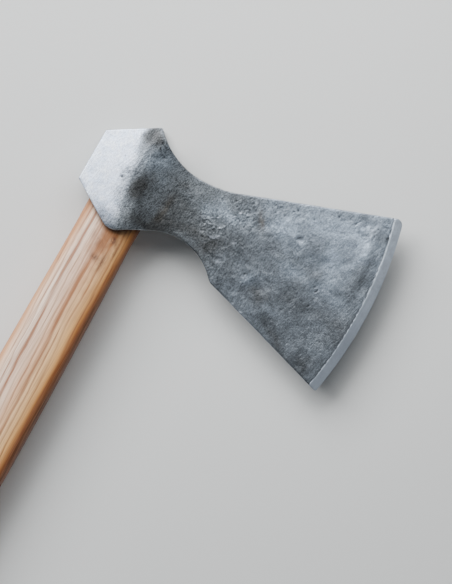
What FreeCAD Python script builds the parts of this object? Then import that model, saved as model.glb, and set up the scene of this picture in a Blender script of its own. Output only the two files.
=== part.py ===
"""Carving hatchet: a forged head with lugged cheeks, wedged on a straight wooden haft.

Frame, in millimetres. The hatchet lies on its side.
    origin  centre of the flat poll face, on the mid-plane of the head
    +X      from the poll towards the cutting edge
    +Y      along the haft, from the grip towards the top of the head
    +Z      up, square to the cheeks

Each piece is written to parts/NODE.step.
    head_body    forged body: poll, eye, lugs, neck and blade, with a cleft behind the edge
    steel_bit    hard steel bit set into that cleft, ground to the cutting edge
    haft         wooden handle, its tongue filling the eye and sawn with a kerf
    kerf_wedge   wooden wedge driven into the kerf
    cross_wedge  steel wedge driven slantwise across the first one
"""

import FreeCAD
import Part

import math
import os

# ---- Head, side view -----------------------------------------------------------------
POLL_TOP_Y = 14.6
POLL_BOTTOM_Y = -14.6
POLL_CORNER_R = 1.2

TOP_LUG = (25.3, 30.4)
TOP_LUG_CORNER_R = 1.8
BOTTOM_LUG = (27.0, -31.0)
BOTTOM_LUG_CORNER_R = 4.0

WAIST_TOP = (56.5, 16.9)  # lowest point of the upper outline
BROW_R = 42.0  # concave arc from the top lug to the waist
BROW_ANGLE = 44.0  # slope of the outline where it leaves the top lug
THROAT_R = 60.0  # concave arc from the waist to the blade's top line
BLADE_TOP_ANGLE = 21.0

WAIST_BOTTOM = (62.0, -15.8)  # highest point of the lower outline
UNDER_R = 32.0  # concave arc under the neck
UNDER_REAR_ANGLE = 28.5  # slope towards the bottom lug
UNDER_FRONT_ANGLE = 43.0  # slope towards the beard
BEARD_START_X = 87.6
BEARD_CORNER_R = 9.0

EDGE_PEAK_X = 168.7  # furthest point of the cutting edge
EDGE_PEAK_Y = -8.8
EDGE_R = 222.0
TOE_X = 160.6
TOE_CORNER_R = 4.0
HEEL = (164.4, -49.8)
HEEL_CORNER_R = 1.0

# ---- Head, plan view: half thickness along X -----------------------------------------
POLL_HALF_WIDTH = 10.6
RIDGE_X = 27.0  # where the flat rear facet of the cheek meets the front slope
CHEEK_HALF_WIDTH = 16.2
RIDGE_SOFTNESS = 5.0  # the facet turns into the ridge this far behind RIDGE_X
NECK_POLES = [  # poles of the smooth curve that runs on from the ridge to the edge
    (32.5, 16.1),
    (41.0, 11.6),
    (53.0, 7.0),
    (74.0, 5.2),
    (104.0, 3.6),
    (138.0, 1.75),
    (172.0, 1.25),
]
RIM_R = 0.8  # rounding all round the outline of each cheek

# ---- Edge and bit --------------------------------------------------------------------
BEVEL_HALF_ANGLE = 16.5
EDGE_LAND = 0.10  # width left at the very edge
BIT_SHOW = 5.1  # how far the bit's outer faces reach behind the cutting edge
BIT_LIP = 0.45  # thickness of the body's jaws at their lips
BIT_TONGUE = 19.0  # length of the hidden tongue
BIT_TONGUE_HALF = 0.55  # half thickness at the tongue's root end

# ---- Eye -----------------------------------------------------------------------------
EYE_X = 26.03
EYE_BOTTOM_Y = -31.0
EYE_TOP_Y = 31.0
EYE_BOTTOM_HALF = (15.97, 10.4)  # half length along X, half width along Z
EYE_TOP_HALF = (16.8, 11.5)
OVAL_POWER = 2.45  # 2 is an ellipse, more is squarer
OVAL_POINTS = 28

# ---- Haft ----------------------------------------------------------------------------
HAFT_TOP_Y = 17.6
# y, back edge x, front edge x, half width
HAFT_SECTIONS = [
    (-31.0, 10.06, 42.00, 10.4),
    (-50.0, 10.03, 42.80, 10.7),
    (-86.0, 10.0, 44.0, 11.2),
    (-155.0, 10.0, 45.6, 12.0),
    (-215.0, 10.2, 45.6, 12.3),
    (-270.0, 11.0, 43.8, 12.0),
    (-312.0, 11.0, 43.6, 12.1),
    (-338.0, 9.0, 46.4, 13.1),
    (-352.0, 8.0, 48.2, 13.6),
    (-364.0, 8.2, 48.4, 13.5),
]
BUTT_EDGE_R = 3.2
HANG_HOLE_XY = (28.0, -341.0)
HANG_HOLE_R = 4.0
HANG_HOLE_CHAMFER = 1.0

# ---- Wedges --------------------------------------------------------------------------
KERF_WEDGE_TOP_HALF = 2.3
KERF_WEDGE_TIP_HALF = 0.5
KERF_WEDGE_TIP_Y = -22.0
SAW_KERF_HALF = 0.5
SAW_KERF_END_Y = -27.0
CROSS_WEDGE_TURN = 52.0  # degrees from the kerf
CROSS_WEDGE_WIDTH = 17.0
CROSS_WEDGE_TOP_HALF = 1.6
CROSS_WEDGE_TIP_HALF = 0.4
CROSS_WEDGE_LENGTH = 24.0

OVERSIZE = 30.0  # how far cutting tools reach past what they cut
V = FreeCAD.Vector
Z_AXIS = V(0, 0, 1)
Y_AXIS = V(0, 1, 0)


def point(xy, z=0.0):
    return V(xy[0], xy[1], z)


def line(a, b):
    return Part.LineSegment(a, b).toShape()


def on_circle(centre, radius, degrees):
    angle = math.radians(degrees)
    return V(centre.x + radius * math.cos(angle), centre.y + radius * math.sin(angle), centre.z)


def arc(centre, radius, start, end):
    """Arc in a plane of constant Z, from one angle in degrees to another."""
    middle = on_circle(centre, radius, (start + end) / 2)
    ends = on_circle(centre, radius, start), on_circle(centre, radius, end)
    return Part.Arc(ends[0], middle, ends[1]).toShape()


def meet(a, slope_a, b, slope_b):
    """Where two lines cross, each given by a point and a slope in degrees."""
    ta, tb = math.tan(math.radians(slope_a)), math.tan(math.radians(slope_b))
    x = (b.y - a.y + ta * a.x - tb * b.x) / (ta - tb)
    return V(x, a.y + ta * (x - a.x), 0)


def edge_centre():
    return V(EDGE_PEAK_X - EDGE_R, EDGE_PEAK_Y, 0)


def edge_point_at_x(x):
    """Point of the cutting edge's upper half at this X."""
    centre = edge_centre()
    return V(x, centre.y + math.sqrt(EDGE_R**2 - (x - centre.x) ** 2), 0)


def side_prism():
    """The head's side outline as a thick plate with rounded corners."""
    poll_top, poll_bottom = V(0, POLL_TOP_Y, 0), V(0, POLL_BOTTOM_Y, 0)
    top_lug, bottom_lug = point(TOP_LUG), point(BOTTOM_LUG)

    brow = V(WAIST_TOP[0], WAIST_TOP[1] + BROW_R, 0)
    throat = V(WAIST_TOP[0], WAIST_TOP[1] + THROAT_R, 0)
    brow_start = on_circle(brow, BROW_R, 270 - BROW_ANGLE)
    throat_end = on_circle(throat, THROAT_R, 270 + BLADE_TOP_ANGLE)
    rise = math.tan(math.radians(BLADE_TOP_ANGLE)) * (TOE_X - throat_end.x)
    toe = V(TOE_X, throat_end.y + rise, 0)

    heel = point(HEEL)
    under = V(WAIST_BOTTOM[0], WAIST_BOTTOM[1] - UNDER_R, 0)
    under_front = on_circle(under, UNDER_R, 90 - UNDER_FRONT_ANGLE)
    under_rear = on_circle(under, UNDER_R, 90 + UNDER_REAR_ANGLE)
    drop = math.tan(math.radians(UNDER_FRONT_ANGLE)) * (BEARD_START_X - under_front.x)
    beard = V(BEARD_START_X, under_front.y - drop, 0)

    edges = [
        line(poll_bottom, poll_top),
        line(poll_top, top_lug),
        line(top_lug, brow_start),
        arc(brow, BROW_R, 270 - BROW_ANGLE, 270),
        arc(throat, THROAT_R, 270, 270 + BLADE_TOP_ANGLE),
        line(throat_end, toe),
        Part.Arc(toe, V(EDGE_PEAK_X, EDGE_PEAK_Y, 0), heel).toShape(),
        line(heel, beard),
        line(beard, under_front),
        arc(under, UNDER_R, 90 - UNDER_FRONT_ANGLE, 90 + UNDER_REAR_ANGLE),
        line(under_rear, bottom_lug),
        line(bottom_lug, poll_bottom),
    ]
    face = Part.Face(Part.Wire(edges))
    plate = face.extrude(V(0, 0, 2 * OVERSIZE)).translated(V(0, 0, -OVERSIZE))
    corners = [
        (poll_top, POLL_CORNER_R),
        (poll_bottom, POLL_CORNER_R),
        (top_lug, TOP_LUG_CORNER_R),
        (bottom_lug, BOTTOM_LUG_CORNER_R),
        (beard, BEARD_CORNER_R),
        (toe, TOE_CORNER_R),
        (heel, HEEL_CORNER_R),
    ]
    for corner, radius in corners:
        plate = plate.makeFillet(radius, [upright_edge(plate, corner)])
    return plate


def upright_edge(plate, corner):
    """The plate's edge along Z that passes through a corner of the outline."""
    def distance(edge):
        ends = [v.Point for v in edge.Vertexes]
        return max(math.hypot(p.x - corner.x, p.y - corner.y) for p in ends)

    return min(plate.Edges, key=distance)


def plan_prism():
    """The head's thickness as seen along the haft, extruded along Y."""
    slope = (CHEEK_HALF_WIDTH - POLL_HALF_WIDTH) / RIDGE_X
    facet_end = RIDGE_X - RIDGE_SOFTNESS
    poll = V(0, 0, POLL_HALF_WIDTH)
    facet = V(facet_end, 0, POLL_HALF_WIDTH + slope * facet_end)
    ridge = V(RIDGE_X, 0, CHEEK_HALF_WIDTH)
    poles = [facet, ridge] + [V(x, 0, z) for x, z in NECK_POLES]
    curve = Part.BSplineCurve()
    curve.buildFromPoles(poles)
    upper = [line(poll, facet), curve.toShape()]
    tip = poles[-1]
    lower = [e.mirror(V(0, 0, 0), Z_AXIS) for e in upper]
    ends = [
        line(V(0, 0, -POLL_HALF_WIDTH), poll),
        line(tip, V(tip.x, 0, -tip.z)),
    ]
    face = Part.Face(Part.Wire(Part.__sortEdges__(upper + lower + ends)))
    return face.extrude(V(0, 4 * OVERSIZE, 0)).translated(V(0, -2 * OVERSIZE, 0))


def revolved_about_edge_centre(section):
    """Turns (radius, z) points into a ring segment round the cutting edge's centre."""
    centre = edge_centre()
    sweep = 40.0
    points = [V(centre.x + r, centre.y, z) for r, z in section]
    face = Part.Face(Part.makePolygon(points + points[:1]))
    face.rotate(centre, Z_AXIS, -sweep / 2)
    return face.revolve(centre, Z_AXIS, sweep)


def bevel_cutters():
    """What grinding takes away, above and below the edge."""
    half_land = EDGE_LAND / 2
    height = CHEEK_HALF_WIDTH
    back = (height - half_land) / math.tan(math.radians(BEVEL_HALF_ANGLE))
    section = [
        (EDGE_R, half_land),
        (EDGE_R + OVERSIZE, half_land),
        (EDGE_R + OVERSIZE, height),
        (EDGE_R - back, height),
    ]
    below = [(r, -z) for r, z in section]
    return [revolved_about_edge_centre(section), revolved_about_edge_centre(below)]


def cheek_rims(blank):
    """Edges that go round the outline of the two cheeks, and the poll's long edges."""
    rims = []
    for edge in blank.Edges:
        points = edge.discretize(9)
        on_one_side = all(abs(p.z) > RIM_R for p in points) and points[0].z * points[-1].z > 0
        ends = points[0] - points[-1]
        facet_seam = points[0].x > RIM_R and abs(ends.x) < 0.01 and abs(ends.y) > WAIST_TOP[1]
        if on_one_side and not facet_seam:
            rims.append(edge)
    return rims


def head_blank():
    """Body and bit together, before the eye is opened."""
    blank = side_prism().common(plan_prism())
    blank = blank.makeFillet(RIM_R, cheek_rims(blank))
    for cutter in bevel_cutters():
        blank = blank.cut(cutter)
    return blank


def bit_tool():
    """The space that the bit takes up: the ground strip and its hidden tongue."""
    seam = EDGE_R - BIT_SHOW
    lip = seam_half_thickness() - BIT_LIP
    root = seam - BIT_TONGUE
    upper = [
        (EDGE_R + OVERSIZE, CHEEK_HALF_WIDTH),
        (seam, CHEEK_HALF_WIDTH),
        (seam, lip),
        (root, BIT_TONGUE_HALF),
    ]
    lower = [(r, -z) for r, z in reversed(upper)]
    return revolved_about_edge_centre(upper + lower)


def seam_half_thickness():
    """Half the blade's thickness where body and bit meet, at the peak of the edge."""
    seam_x = EDGE_PEAK_X - BIT_SHOW
    (x0, z0), (x1, z1) = NECK_POLES[-2:]
    return z0 + (z1 - z0) * (seam_x - x0) / (x1 - x0)


def oval(centre_x, y, half_length, half_width):
    """Closed rounded-rectangular wire in a plane of constant Y."""
    points = []
    for i in range(OVAL_POINTS):
        turn = 2 * math.pi * i / OVAL_POINTS
        c, s = math.cos(turn), math.sin(turn)
        x = math.copysign(abs(c) ** (2 / OVAL_POWER), c) * half_length
        z = math.copysign(abs(s) ** (2 / OVAL_POWER), s) * half_width
        points.append(V(centre_x + x, y, z))
    curve = Part.BSplineCurve()
    curve.interpolate(Points=points, PeriodicFlag=True)
    return Part.Wire(curve.toShape())


def eye_half_at(y):
    """The eye's half length and half width at this height."""
    share = (y - EYE_BOTTOM_Y) / (EYE_TOP_Y - EYE_BOTTOM_Y)
    return [b + (t - b) * share for b, t in zip(EYE_BOTTOM_HALF, EYE_TOP_HALF)]


def eye_core(bottom_y, top_y):
    """The solid that fills the tapered eye between two heights."""
    ends = [oval(EYE_X, y, *eye_half_at(y)) for y in (bottom_y, top_y)]
    return Part.makeLoft(ends, True, True)


def taper_prism(top_half, tip_half, top_y, tip_y, half_length):
    """A wedge: thick along Z at top_y, thin at tip_y, and 2 * half_length along X."""
    profile = [
        V(-half_length, top_y, top_half),
        V(-half_length, tip_y, tip_half),
        V(-half_length, tip_y, -tip_half),
        V(-half_length, top_y, -top_half),
    ]
    face = Part.Face(Part.makePolygon(profile + profile[:1]))
    wedge = face.extrude(V(2 * half_length, 0, 0))
    return wedge.translated(V(EYE_X, 0, 0))


def kerf_wedge_prism():
    return taper_prism(
        KERF_WEDGE_TOP_HALF, KERF_WEDGE_TIP_HALF, HAFT_TOP_Y, KERF_WEDGE_TIP_Y, OVERSIZE
    )


def cross_wedge():
    wedge = taper_prism(
        CROSS_WEDGE_TOP_HALF,
        CROSS_WEDGE_TIP_HALF,
        HAFT_TOP_Y,
        HAFT_TOP_Y - CROSS_WEDGE_LENGTH,
        CROSS_WEDGE_WIDTH / 2,
    )
    wedge.rotate(V(EYE_X, 0, 0), Y_AXIS, CROSS_WEDGE_TURN)
    return wedge


def kerf_wedge():
    core = eye_core(KERF_WEDGE_TIP_Y, HAFT_TOP_Y)
    return kerf_wedge_prism().common(core).cut(cross_wedge())


def haft():
    sections = []
    for y, back, front, half_width in HAFT_SECTIONS:
        sections.append(oval((back + front) / 2, y, (front - back) / 2, half_width))
    grip = Part.makeLoft(sections, True, False)
    butt_y = HAFT_SECTIONS[-1][0]
    rim = [e for e in grip.Edges if all(abs(v.Y - butt_y) < 0.01 for v in e.Vertexes)]
    grip = grip.makeFillet(BUTT_EDGE_R, rim)
    tongue = eye_core(EYE_BOTTOM_Y, HAFT_TOP_Y)
    wood = grip.fuse(tongue)
    saw_kerf = taper_prism(
        SAW_KERF_HALF, SAW_KERF_HALF, KERF_WEDGE_TIP_Y, SAW_KERF_END_Y, OVERSIZE
    )
    for tool in (kerf_wedge_prism(), saw_kerf, cross_wedge(), hang_hole_tool()):
        wood = wood.cut(tool)
    return wood


def hang_hole_tool():
    """Through hole near the butt, broken at both mouths."""
    x, y = HANG_HOLE_XY
    half = HAFT_SECTIONS[-1][3]
    drill = Part.makeCylinder(HANG_HOLE_R, 2 * OVERSIZE, V(x, y, -OVERSIZE))
    reach = HANG_HOLE_CHAMFER + OVERSIZE / 10
    for side in (-1, 1):
        mouth = half - HANG_HOLE_CHAMFER
        cone = Part.makeCone(
            HANG_HOLE_R, HANG_HOLE_R + reach, reach, V(x, y, side * mouth), V(0, 0, side)
        )
        drill = drill.fuse(cone)
    return drill


def main():
    blank = head_blank()
    tool = bit_tool()
    eye = eye_core(EYE_BOTTOM_Y, EYE_TOP_Y)
    pieces = {
        "head_body": blank.cut(tool).cut(eye),
        "steel_bit": blank.common(tool),
        "haft": haft(),
        "kerf_wedge": kerf_wedge(),
        "cross_wedge": cross_wedge(),
    }
    os.makedirs("parts", exist_ok=True)
    for name, shape in pieces.items():
        shape.exportStep(f"parts/{name}.step")
        box = shape.BoundBox
        print(
            f"{name}: valid {shape.isValid()}, solids {len(shape.Solids)}, "
            f"volume {shape.Volume / 1000:.2f} cm3, "
            f"x {box.XMin:.2f}..{box.XMax:.2f} y {box.YMin:.2f}..{box.YMax:.2f} "
            f"z {box.ZMin:.2f}..{box.ZMax:.2f}"
        )


main()
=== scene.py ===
"""Carving hatchet, seen square on to its cheek. Lengths are in millimetres until a mesh is made."""

import functools
import math

import bpy
import numpy as np
from mathutils import Matrix, Vector


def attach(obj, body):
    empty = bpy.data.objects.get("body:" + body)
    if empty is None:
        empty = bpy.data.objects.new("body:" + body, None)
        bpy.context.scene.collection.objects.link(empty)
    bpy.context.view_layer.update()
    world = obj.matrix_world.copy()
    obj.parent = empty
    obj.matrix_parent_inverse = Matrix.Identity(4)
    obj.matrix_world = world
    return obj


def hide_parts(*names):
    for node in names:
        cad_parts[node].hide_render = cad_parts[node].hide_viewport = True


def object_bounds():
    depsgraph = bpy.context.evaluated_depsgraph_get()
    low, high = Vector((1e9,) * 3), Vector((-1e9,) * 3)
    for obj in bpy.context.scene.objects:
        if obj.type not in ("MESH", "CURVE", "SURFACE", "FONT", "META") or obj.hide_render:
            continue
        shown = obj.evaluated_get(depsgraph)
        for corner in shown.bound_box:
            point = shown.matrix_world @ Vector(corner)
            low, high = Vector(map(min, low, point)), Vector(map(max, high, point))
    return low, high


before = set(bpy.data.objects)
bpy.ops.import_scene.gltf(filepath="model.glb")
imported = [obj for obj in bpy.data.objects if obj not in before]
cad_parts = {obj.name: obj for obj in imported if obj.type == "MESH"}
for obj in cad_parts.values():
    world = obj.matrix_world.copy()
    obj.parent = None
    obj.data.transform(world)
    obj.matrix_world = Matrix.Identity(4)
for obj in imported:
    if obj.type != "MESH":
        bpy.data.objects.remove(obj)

CAD_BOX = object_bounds()
MM = 0.001

# ---- Head: the same outline as the solids ---------------------------------------------
POLL_TOP_Y, POLL_BOTTOM_Y = 14.6, -14.6
TOP_LUG = (25.3, 30.4)
BOTTOM_LUG = (27.0, -31.0)
WAIST_TOP = (56.5, 16.9)
BROW_R, BROW_ANGLE = 42.0, 44.0
THROAT_R, BLADE_TOP_ANGLE = 60.0, 21.0
WAIST_BOTTOM = (62.0, -15.8)
UNDER_R, UNDER_REAR_ANGLE, UNDER_FRONT_ANGLE = 32.0, 28.5, 43.0
BEARD_START_X = 87.6
HEEL = (164.4, -49.8)
EDGE_PEAK = (168.7, -8.8)
EDGE_R = 222.0
POLL_HALF, CREST_HALF = 10.55, 16.3
NECK_POLES = [
    (12.0, 24.6),
    (24.0, 19.4),
    (32.5, 16.0),
    (41.0, 11.6),
    (53.0, 7.0),
    (74.0, 5.1),
    (104.0, 3.55),
    (138.0, 1.75),
    (172.0, 1.25),
]
BIT_SHOW = 5.1  # width of the bit outside the body
BIT_TONGUE = 19.0
BIT_TONGUE_HALF = 0.55
BIT_LIP = 0.45  # thickness of the body's lips beside the tongue
TOE_CORNER_R = 4.0
HEEL_CORNER_R = 1.1
EDGE_LAND = 0.05  # half the thickness left at the cutting edge
EYE_X = 26.03
EYE_BOTTOM_Y, EYE_TOP_Y = -31.0, 31.0
EYE_HALVES = ((15.97, 10.4), (16.8, 11.5))  # half length and half width at each end
OVAL_POWER = 2.45  # 2 is an ellipse; more is boxier
CLEFT_GAP = 0.02  # play between the bit and the body

HEAD_ROWS = 118  # cheek rows from the lower to the upper outline
HEAD_STEP = 0.54  # column spacing
WALL_ROWS = 16
POLL_ROUND = 0.5


# ---- Small numeric tools --------------------------------------------------------------
def smoothstep(a, b, x):
    t = np.clip((x - a) / (b - a), 0, 1)
    return t * t * (3 - 2 * t)


def soft_min(a, b, k):
    h = np.clip(0.5 + 0.5 * (b - a) / k, 0, 1)
    return b * (1 - h) + a * h - k * h * (1 - h)


def soft_max(a, b, k):
    return -soft_min(-a, -b, k)


def bell(v):
    """1 at v = 0, falling smoothly to 0.37 at v = 1 and -1 and to nothing beyond."""
    return np.exp(-(v**2))


@functools.lru_cache(maxsize=None)
def lattice(seed):
    return np.random.RandomState(seed).uniform(-1, 1, (256, 256))


def noise(x, y, size, seed):
    """Smooth value noise in -1..1 with features about `size` long."""
    table = lattice(seed)
    u, v = np.asarray(x, float) / size + 17.3, np.asarray(y, float) / size + 9.1
    i, j = np.floor(u).astype(int), np.floor(v).astype(int)
    fu, fv = u - i, v - j
    fu, fv = (f**3 * (f * (f * 6 - 15) + 10) for f in (fu, fv))
    at = lambda a, b: table[(i + a) % 256, (j + b) % 256]
    low = at(0, 0) * (1 - fu) + at(1, 0) * fu
    high = at(0, 1) * (1 - fu) + at(1, 1) * fu
    return low * (1 - fv) + high * fv


def fractal(x, y, size, seed, octaves=4, gain=0.55):
    total, weight, norm = 0.0, 1.0, 0.0
    for n in range(octaves):
        c, s = math.cos(0.6 * n + seed), math.sin(0.6 * n + seed)
        total = total + weight * noise(c * x - s * y, s * x + c * y, size / 2**n, seed + 31 * n)
        norm += weight
        weight *= gain
    return total / norm


def spline_curve(poles, count=400):
    """Clamped uniform cubic B-spline through these poles, as dense points."""
    p = np.array(poles, float)
    n, k = len(p), 3
    knots = np.concatenate([[0] * k, np.linspace(0, 1, n - k + 1), [1] * k])
    t = np.linspace(0, 1, count)
    basis = np.array([(t >= knots[i]) & (t < knots[i + 1]) for i in range(n + k)], float)
    basis[n - 1][-1] = 1.0
    for d in range(1, k + 1):
        new = np.zeros((n + k - d, count))
        for i in range(n + k - d):
            a, b = knots[i + d] - knots[i], knots[i + d + 1] - knots[i + 1]
            if a > 0:
                new[i] += (t - knots[i]) / a * basis[i]
            if b > 0:
                new[i] += (knots[i + d + 1] - t) / b * basis[i + 1]
        basis = new
    return basis[:n].T @ p


# ---- Head outline ---------------------------------------------------------------------
EDGE_CX, EDGE_CY = EDGE_PEAK[0] - EDGE_R, EDGE_PEAK[1]


def arc_y(x, centre, radius, side):
    return centre[1] + side * np.sqrt(np.maximum(radius**2 - (x - centre[0]) ** 2, 0))


def waisted(x, waist, rear, front, side):
    """Two arcs that meet at the waist and run on straight past their ends.

    rear and front are (radius, slope in degrees at the arc's end); side is 1 for the lower
    outline of the head and -1 for the upper one.
    """
    (rear_r, rear_angle), (front_r, front_angle) = rear, front
    a, b = math.radians(rear_angle), math.radians(front_angle)
    back, ahead = (waist[0], waist[1] - side * rear_r), (waist[0], waist[1] - side * front_r)
    start_x, end_x = back[0] - rear_r * math.sin(a), ahead[0] + front_r * math.sin(b)
    start_y = back[1] + side * rear_r * math.cos(a)
    end_y = ahead[1] + side * front_r * math.cos(b)
    y = np.where(x < waist[0], arc_y(x, back, rear_r, side), arc_y(x, ahead, front_r, side))
    y = np.where(x < start_x, start_y + side * math.tan(a) * (x - start_x), y)
    return np.where(x > end_x, end_y - side * math.tan(b) * (x - end_x), y)


def top_line(x):
    """Upper outline of the head."""
    x = np.asarray(x, float)
    poll = POLL_TOP_Y + (TOP_LUG[1] - POLL_TOP_Y) / TOP_LUG[0] * x
    rest = waisted(x, WAIST_TOP, (BROW_R, BROW_ANGLE), (THROAT_R, BLADE_TOP_ANGLE), -1)
    return soft_min(poll, rest, 1.9)


def under_line(x):
    """Underside of the neck, carried on straight at both ends."""
    return waisted(x, WAIST_BOTTOM, (UNDER_R, UNDER_REAR_ANGLE), (UNDER_R, UNDER_FRONT_ANGLE), 1)


BEARD_START_Y = float(under_line(BEARD_START_X))


def bottom_line(x):
    """Lower outline of the head."""
    x = np.asarray(x, float)
    poll = POLL_BOTTOM_Y + (BOTTOM_LUG[1] - POLL_BOTTOM_Y) / BOTTOM_LUG[0] * x
    slope = (HEEL[1] - BEARD_START_Y) / (HEEL[0] - BEARD_START_X)
    beard = BEARD_START_Y + slope * (x - BEARD_START_X)
    rest = under_line(x)
    rest = np.where(x > WAIST_BOTTOM[0], soft_max(rest, beard, 1.0), rest)
    # the lug is hammered a little round and full
    rest = rest - 0.6 * bell((x - 30.8) / 3.0)
    return soft_max(poll, rest, 4.2)


NECK = spline_curve(NECK_POLES)


def ridge_x(y):
    """Where the rear facet of the cheek ends: it leans forward towards the bottom."""
    return 25.6 - 0.11 * y + 0.006 * y * y


def plain_half(x, y):
    """Half thickness of the head before hammer marks."""
    crest = ridge_x(y)
    facet = POLL_HALF + (CREST_HALF - POLL_HALF) * x / crest
    shift = (crest - 28.0) * (1 - smoothstep(36, 66, x))
    neck = np.interp(x - shift, NECK[:, 0], NECK[:, 1])
    half = soft_min(facet, neck, 2.6)
    # the lower lug and the tip of the upper one are hammered down
    low, high = bottom_line(x), top_line(x)
    lug = bell((x - 27) / 13.0)
    half = half - 0.9 * lug * np.clip(1 - (y - low) / 9.0, 0, 1) ** 2
    tip = np.hypot((x - 27.5) / 1.3, y - 29.5)
    half = half - 0.8 * np.clip(1 - tip / 11.0, 0, 1) ** 1.5
    # the blade is crowned: a little thinner towards its two outlines
    share = (2 * y - low - high) / (high - low)
    return half * (1 - 0.2 * share * share * smoothstep(60, 110, x))


def edge_distance(x, y):
    """How far a point lies behind the cutting edge."""
    return EDGE_R - np.hypot(x - EDGE_CX, y - EDGE_CY)


# ---- Surface marks --------------------------------------------------------------------
def turned_axes(x, y, cx, cy, turn):
    """Distances from a centre along and across a direction, turned by radians from X."""
    c, s = math.cos(turn), math.sin(turn)
    return (x - cx) * c + (y - cy) * s, -(x - cx) * s + (y - cy) * c


def pit(x, y, cx, cy, length, width, turn, depth):
    u, v = turned_axes(x, y, cx, cy, math.radians(turn))
    d = (u / length) ** 2 + (v / width) ** 2
    return -depth * np.exp(-(d**1.3))


def hammer_marks(x, y, seed, count):
    rng = np.random.RandomState(seed)
    out = np.zeros_like(x)
    for _ in range(count):
        cx, cy = rng.uniform(2, 158), rng.uniform(-46, 48)
        radius, depth = rng.uniform(4.0, 9.5), rng.uniform(0.04, 0.13)
        stretch, turn = rng.uniform(0.75, 1.3), rng.uniform(0, math.pi)
        u, v = turned_axes(x, y, cx, cy, turn)
        d = np.hypot(u, v * stretch) / radius
        out -= depth * (1 - smoothstep(0.55, 1.1, d))
    return out


def scaly_patch(x, y, cx, cy, radius, seed):
    """Rough flaked skin: overlapping shallow cups with raised crescent rims."""
    rng = np.random.RandomState(seed)
    out = np.zeros_like(x)
    broken = np.clip(0.6 + 1.3 * noise(x, y, 1.3, seed + 50), 0, 1.4)
    for _ in range(34):
        a, r = rng.uniform(0, 2 * math.pi), radius * math.sqrt(rng.uniform(0, 1))
        px, py = cx + r * math.cos(a), cy + r * math.sin(a)
        size, open_side = rng.uniform(0.9, 3.4), rng.uniform(-2.6, -0.4)
        u, v = x - px, (y - py) * rng.uniform(1.0, 1.7)
        d = np.hypot(u, v)
        facing = 0.5 + 0.5 * np.cos(np.arctan2(v, u) - open_side)
        rim = facing**2 * bell((d - size) / 0.4)
        out += rng.uniform(0.02, 0.09) * rim * broken
        out -= rng.uniform(0.01, 0.04) * np.exp(-((d / size) ** 4))
    fade = np.exp(-(((x - cx) ** 2 + (y - cy) ** 2) / (1.5 * radius) ** 2) ** 2)
    return out * fade


def cup_shade_and_highlight(x, y, cx, cy, half):
    """Shallow hollow: painted shade under its upper lip and painted highlight along the lower one."""
    u, v = (x - cx) / half, (y - cy) / half
    up, across = -0.5 * u + 0.866 * v, 0.866 * u + 0.5 * v
    shut = np.exp(-(across**4))
    dark = bell((up - 0.6 + 0.25 * across**2) / 0.35) * shut
    bright = bell((up + 0.75 - 0.4 * across**2) / 0.28) * shut
    return dark, bright


def random_pits(x, y, seed, count, region, depth, size):
    rng = np.random.RandomState(seed)
    x0, x1, y0, y1 = region
    out = np.zeros_like(x)
    for _ in range(count):
        cx, cy = rng.uniform(x0, x1), rng.uniform(y0, y1)
        r = rng.uniform(*size)
        near = (np.abs(x - cx) < 4 * r) & (np.abs(y - cy) < 4 * r)
        if near.any():
            turn, thin = rng.uniform(0, 180), rng.uniform(0.6, 1.0)
            out[near] += pit(x[near], y[near], cx, cy, r, r * thin, turn, rng.uniform(*depth))
    return out


@functools.lru_cache(maxsize=None)
def upper_pits():
    """Small deep pits scattered under the upper outline of the front cheek."""
    rng = np.random.RandomState(31)
    out = []
    for px in rng.uniform(80, 152, 34):
        py = float(top_line(px)) - rng.uniform(1.5, 10.0)
        out.append((px, py, rng.uniform(0.35, 0.6), rng.uniform(0.1, 0.3)))
    return out


# marks of the front cheek: x, y, half length, half width, turn, depth
DENTS = [
    (117.7, 15.7, 2.0, 1.4, -10, 0.42),
    (102.0, -15.3, 2.6, 2.2, 20, 0.07),
    (85.4, -15.2, 3.0, 1.8, 20, 0.16),
]
PITS = [
    (19.7, -2.6, 0.75, 0.65, 0, 0.25),
    (101.4, -14.7, 0.6, 0.5, 0, 0.2),
    (103.0, -16.6, 0.5, 0.5, 0, 0.16),
    (136.9, -2.2, 0.55, 0.5, 0, 0.34),
    (138.5, -4.3, 0.55, 0.5, 0, 0.34),
    (138.9, -3.2, 0.55, 0.5, 0, 0.34),
    (139.0, -12.6, 0.85, 0.5, 62, 0.32),
    (139.9, -14.8, 0.9, 0.42, 58, 0.25),
]
# flaked skin of the front cheek: x, y, radius, seed, height
SCALE_PATCHES = [
    (73.0, -1.5, 7.0, 5, 2.0),
    (57.0, 3.0, 9.0, 8, 0.5),
    (32.5, 19.0, 5.5, 9, 1.6),
    (85.0, 12.0, 6.5, 13, 1.7),
    (84.0, -13.0, 8.0, 16, 0.8),
    (96.0, 17.0, 9.0, 14, 0.6),
]
# fields of small pits in the front cheek: seed, count, (x and y limits), depths, sizes
PIT_FIELDS = [
    (23, 34, (66, 81, -9, 5), (0.08, 0.2), (0.3, 0.6)),
    (24, 34, (78, 94, 5, 17), (0.08, 0.2), (0.3, 0.6)),
    (25, 30, (27, 36, 16.5, 24), (0.1, 0.24), (0.35, 0.6)),
]
# painted shade and highlight of cups in the front cheek: x, y, half width, painted shade under the
# upper lip, painted highlight on the lower one
CUP_SHADE_AND_HIGHLIGHT = [
    (117.7, 15.7, 1.6, 0.85, 0.10),
    (85.4, -15.0, 1.8, 0.50, 0.35),
    (76.6, -4.4, 2.8, 0.25, 0.26),
    (87.8, -2.6, 1.6, 0.35, 0.30),
    (66.5, 2.0, 2.0, 0.25, 0.25),
    (102.0, -15.3, 1.9, 0.22, 0.12),
    (80.5, 9.0, 1.5, 0.35, 0.30),
]
# brown stains on the front cheek: x, y, half length, half width, turn, strength
STAINS = [(95.0, 13.9, 5.0, 2.2, 120, 1.0), (47.4, -7.5, 9.0, 2.4, 84, 0.4)]
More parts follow.
